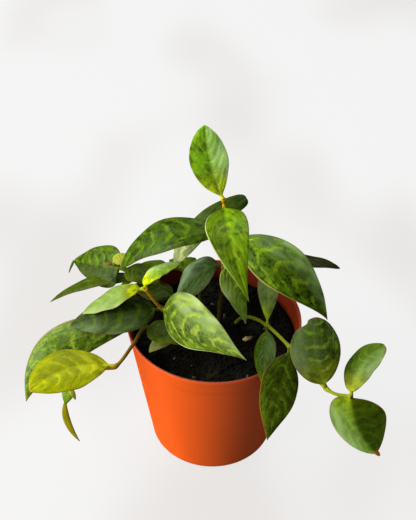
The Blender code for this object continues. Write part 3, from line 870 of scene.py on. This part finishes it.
# The stem that trails at the left
# It bends over the rim and hangs free, with the largest leaf, an old yellow-green one, a narrow
# curled one and a few that are just opening.
leafy_stem(
    "stem_trailing_left", "leaves", seed=4.3, high_colour=STEM_ORANGE,
    route=[(-13, -9, 64), (-21, -11, 80), (-34, -14, 88), (-40.5, -26, 87), (-48, -40, 87),
           (-60, -36, 80), (-72, -34, 64)],
    leaves=[
        leaf(2, heading=193, rise=-33, length=76, width=20, roll=-55, arch=0.13, sweep=-0.21,
             round_base=0.89, long_tip=1.1, tone=0.62,
             paint=look((0.080, 0.155, 0.004), (0.310, 0.460, 0.030), painted_light_halves=(1.3, 0.9), blotch=1.0,
                        net=0.75, rim=0.7, painted_sheen=-0.25)),
        leaf(4, heading=210, rise=7, length=45, width=23, roll=-14, arch=0.04, sweep=-0.11,
             round_base=0.75, long_tip=0.75, paint=GOLDEN, tone=0.78),
        leaf(6, heading=297, rise=-74, length=33, width=3.8, roll=35, arch=0.0, sweep=-0.15,
             round_base=0.9, long_tip=1.0, stalk=0.22, paint=OLIVE, tone=0.75),
        leaf(6, heading=244, rise=-56, length=9, width=6.5, round_base=0.3, long_tip=1.0, tone=0.7),
        leaf(6, heading=305, rise=-36, length=6.5, width=2.6, paint=CURL),
        leaf(2, heading=342, rise=-5, length=26, width=16, arch=0.06,
             round_base=0.42, stalk=0.04, paint=DARK, tone=0.8),
        leaf(1, heading=228, rise=0, length=17, width=9,
             paint=look((0.175, 0.200, 0.045), (0.260, 0.290, 0.080), net=0.3, blotch=0.3)),
    ],
)

# The stem that leans to the left
# Rooted at the back left, it runs out over the rim with a hooked leaf and a narrow dark one, and two
# tiny leaves are opening at its end.
leafy_stem(
    "stem_left_back", "leaves", seed=5.4,
    route=[(-12, 6, 64), (-20, 12, 84), (-36, 12, 98), (-46, 10, 105.5), (-51.5, 10, 109.5)],
    leaves=[
        leaf(3, heading=133.5, rise=-28.5, length=52, width=22, roll=-56, arch=0.06,
             round_base=0.25, drip=0.09, crook=0.13, tone=0.34,
             paint=look((0.085, 0.165, 0.003), (0.250, 0.400, 0.010), painted_light_halves=(1.35, 0.7), blotch=0.9,
                        net=0.5, rim=0.0, painted_sheen=0.3)),
        leaf(3, heading=329, rise=0, length=22, width=15, arch=0.12, paint=DARK, tone=0.65),
        leaf(2, heading=177, rise=-23, length=54.5, width=9.5, roll=2, arch=0.11, paint=DARK, tone=0.6),
        leaf(1, heading=155, rise=-6, length=27, width=15, arch=0.08, paint=DARK, tone=0.5),
        leaf(4, heading=30, rise=10, length=8.5, width=8, round_base=0.4, long_tip=0.5, paint=CURL,
             wave=0.0),
        leaf(4, heading=190, rise=-10, length=5, width=2.5, paint=PINK),
    ],
)

# The stem that trails at the right
# It bends over the rim at the right front, mossy at its root and yellow at its end, with six leaves.
# The margin of one has a notch that an insect ate.
leafy_stem(
    "stem_trailing_right", "leaves", seed=6.5, low_colour=STEM_MOSS, high_colour=STEM_YELLOW,
    route=[(8, 8, 64), (13.5, 4.5, 77), (19.5, 1.5, 81), (27, -8, 85), (38, -24, 86), (55.5, -45, 79),
           (67.5, -48, 77)],
    leaves=[
        leaf(3, heading=89, rise=36.5, length=28, width=11, arch=0.12,
             round_base=0.95, long_tip=0.44, tone=1.25,
             paint=look((0.100, 0.140, 0.030), (0.150, 0.200, 0.050), net=0.2, gold=0.8,
                        base=(0.24, 0.34, 0.005))),
        leaf(3, heading=265.5, rise=-2, length=40, width=11, roll=8, arch=0.0,
             round_base=0.7, long_tip=1.15, stalk=0.1, tone=0.38,
             paint=look((0.080, 0.165, 0.003), (0.210, 0.360, 0.010), painted_sheen=0.6)),
        leaf(4, heading=255, rise=-25, length=49, width=20, roll=-29, arch=0.09, sweep=-0.04,
             round_base=0.89, long_tip=1.18, tone=0.76,
             paint=look((0.055, 0.086, 0.002), (0.140, 0.215, 0.006), net=0.85, rim=0.5)),
        leaf(5, heading=99, rise=32, length=36, width=25, roll=-18, arch=0.17, sweep=0.06,
             long_tip=0.56, bite=(0.9, 0.4), tone=0.46,
             paint=look((0.045, 0.085, 0.002), (0.180, 0.290, 0.015), gold=0.3, blotch=0.8, net=0.7,
                        painted_sheen=0.4)),
        leaf(6, heading=48, rise=33, length=30, width=15, roll=-6, arch=0.08, sweep=0.13,
             round_base=0.48, long_tip=0.47, tone=0.72,
             paint=look((0.085, 0.160, 0.006), (0.200, 0.320, 0.015), gold=0.6, blotch=0.5, net=0.5,
                        painted_sheen=-1.0)),
        leaf(6, heading=320, rise=-54.5, length=35.5, width=29, roll=65, arch=0.02, sweep=-0.12,
             round_base=0.42, long_tip=0.56, stalk=0.03, fold=-0.45, cup=0.0, wave=0.0, drip=0.06,
             tone=0.72,
             paint=look((0.085, 0.160, 0.003), (0.200, 0.340, 0.015), painted_light_halves=(1.2, 0.48), gold=0.3,
                        rim=0.6, blotch=0.5, net=0.35, painted_sheen=-0.6, base=(0.33, 0.45, 0.004))),
    ],
)

# The stem at the back right
# Rooted behind the middle, it leans out over the rim. From the front one dark leaf tip of it shows.
leafy_stem(
    "stem_back_right", "leaves", seed=7.6,
    route=[(2, 14, 64), (4, 17, 84), (12, 22, 97), (24, 25, 102)],
    leaves=[
        leaf(3, heading=353.5, rise=-1, length=41, width=10.5, roll=-6, arch=0.02, hook=0.05,
             round_base=0.6, long_tip=0.74,
             paint=look((0.040, 0.045, 0.002), (0.055, 0.060, 0.003)), tone=0.5),
        leaf(3, heading=35, rise=-48, length=44, width=19, arch=0.12, paint=DARK),
        leaf(2, heading=64, rise=-20, length=40, width=17, arch=0.12, paint=DARK),
    ],
)

# The stem that trails at the back
# It bends over the rim and hangs down behind the pot, with two full leaves and two new ones at its
# free end.
leafy_stem(
    "stem_trailing_back", "leaves", seed=8.7,
    route=[(10, 20, 64), (10, 24, 82), (9, 34, 90), (8, 46, 88), (10, 55, 76), (12, 61, 60), (13, 62, 48)],
    leaves=[
        leaf(4, heading=18, rise=-30, length=42, width=19, arch=0.2),
        leaf(5, heading=172, rise=-34, length=42, width=20),
        leaf(6, heading=85, rise=-58, length=28, width=13, paint=NEW),
        leaf(6, heading=290, rise=-35, length=12, width=7, paint=NEW),
    ],
)

# The studio
# A pale seamless table that is also the backdrop, a large soft lamp at the left, a small cool one
# behind, and a weak fill all round.

FLOOR_SIZE = 40.0
FLOOR_DROP = 0.0002
FLOOR_GLOW = 0.83
TABLE_LIGHT = (1.0, 0.995, 0.99)
TABLE_SHADOW_GREY = (0.900, 0.872, 0.850)
FILL_COLOUR = (0.86, 0.93, 1.0, 1.0)
FILL_STRENGTH = 0.25


def stage_surface(name, mesh, glow, lit):
    """A pale part of the studio: it glows softly, and takes a little of the lamps' light and shadow.

    Faint grey clouds of painted shadow lie on it, and fade out from 0.5 to 1 m away.
    """
    finish = Finish(name, Roughness=0.9, Specular_IOR_Level=0.0, Emission_Strength=glow)
    place = finish.place()
    distance = finish.node("ShaderNodeVectorMath", {"operation": "LENGTH"}, {0: place}, output="Value")
    # Painted shadow: grey clouds mixed into the glow near the plant.
    painted_shadow = finish.noise(finish.scaled(place, (1.0, 0.55, 1.0)), 9.0, detail=1.0).stepped(0.42, 0.68)
    painted_shadow = painted_shadow * (1.0 - distance.stepped(0.5, 1.0))
    finish.wear(Base_Color=(lit, lit, lit), Emission_Color=finish.mix(TABLE_LIGHT, TABLE_SHADOW_GREY, painted_shadow))
    mesh.materials.append(finish.material)
    surface = placed(name, mesh)
    surface.visible_diffuse = False
    surface.visible_glossy = False


reach = FLOOR_SIZE / 2
floor_mesh = bpy.data.meshes.new("table_top")
floor_mesh.from_pydata([(-reach, -reach, -FLOOR_DROP), (reach, -reach, -FLOOR_DROP),
                        (reach, reach, -FLOOR_DROP), (-reach, reach, -FLOOR_DROP)], [], [(0, 1, 2, 3)])
stage_surface("table_top", floor_mesh, FLOOR_GLOW, 0.05)

world = bpy.data.worlds.new("studio_fill")
world.use_nodes = True
background = world.node_tree.nodes["Background"].inputs
background["Color"].default_value = FILL_COLOUR
background["Strength"].default_value = FILL_STRENGTH
world.cycles_visibility.glossy = False
bpy.context.scene.world = world
bpy.context.scene.view_settings.view_transform = "Standard"


def lamp(name, place, aim, size, watts, colour=(1.0, 1.0, 1.0)):
    """A soft square lamp that looks at a point."""
    light = bpy.data.lights.new(name, "AREA")
    light.size = size
    light.energy = watts
    light.color = colour
    turn = (Vector(place) - Vector(aim)).to_track_quat("Z", "Y")
    placed(name, light).matrix_world = Matrix.Translation(place) @ turn.to_matrix().to_4x4()


lamp("window_left", place=(-1.05, -0.26, 0.62), aim=(0.0, 0.0, 0.09), size=1.30, watts=46.0)
lamp("sky_behind", place=(0.10, 0.55, 0.85), aim=(0.0, 0.0, 0.10), size=0.45, watts=4.5,
     colour=(0.85, 0.93, 1.0))

# The camera
# It looks down at the front of the plant from 650 mm, tilted a degree, as the photo does.

CAMERA_DISTANCE = 650.0
CAMERA_ELEVATION = 42.3
CAMERA_ROLL = 1.0
CAMERA_AIM = (-3.6, 0.0, 121.9)
FOCAL_PIXELS = 1319.0
PHOTO_HEIGHT = 520.0
SENSOR_WIDTH = 36.0

camera = placed("camera", bpy.data.cameras.new("camera"))
camera.data.sensor_width = SENSOR_WIDTH
camera.data.lens = FOCAL_PIXELS * SENSOR_WIDTH / PHOTO_HEIGHT
elevation = np.radians(CAMERA_ELEVATION)
towards_camera = Vector((0.0, -np.cos(elevation), np.sin(elevation)))
camera_place = MM * (Vector(CAMERA_AIM) + CAMERA_DISTANCE * towards_camera)
camera.matrix_world = (Matrix.Translation(camera_place)
                       @ Matrix.Rotation(np.pi / 2 - elevation, 4, "X")
                       @ Matrix.Rotation(np.radians(CAMERA_ROLL), 4, "Z"))
bpy.context.scene.camera = camera
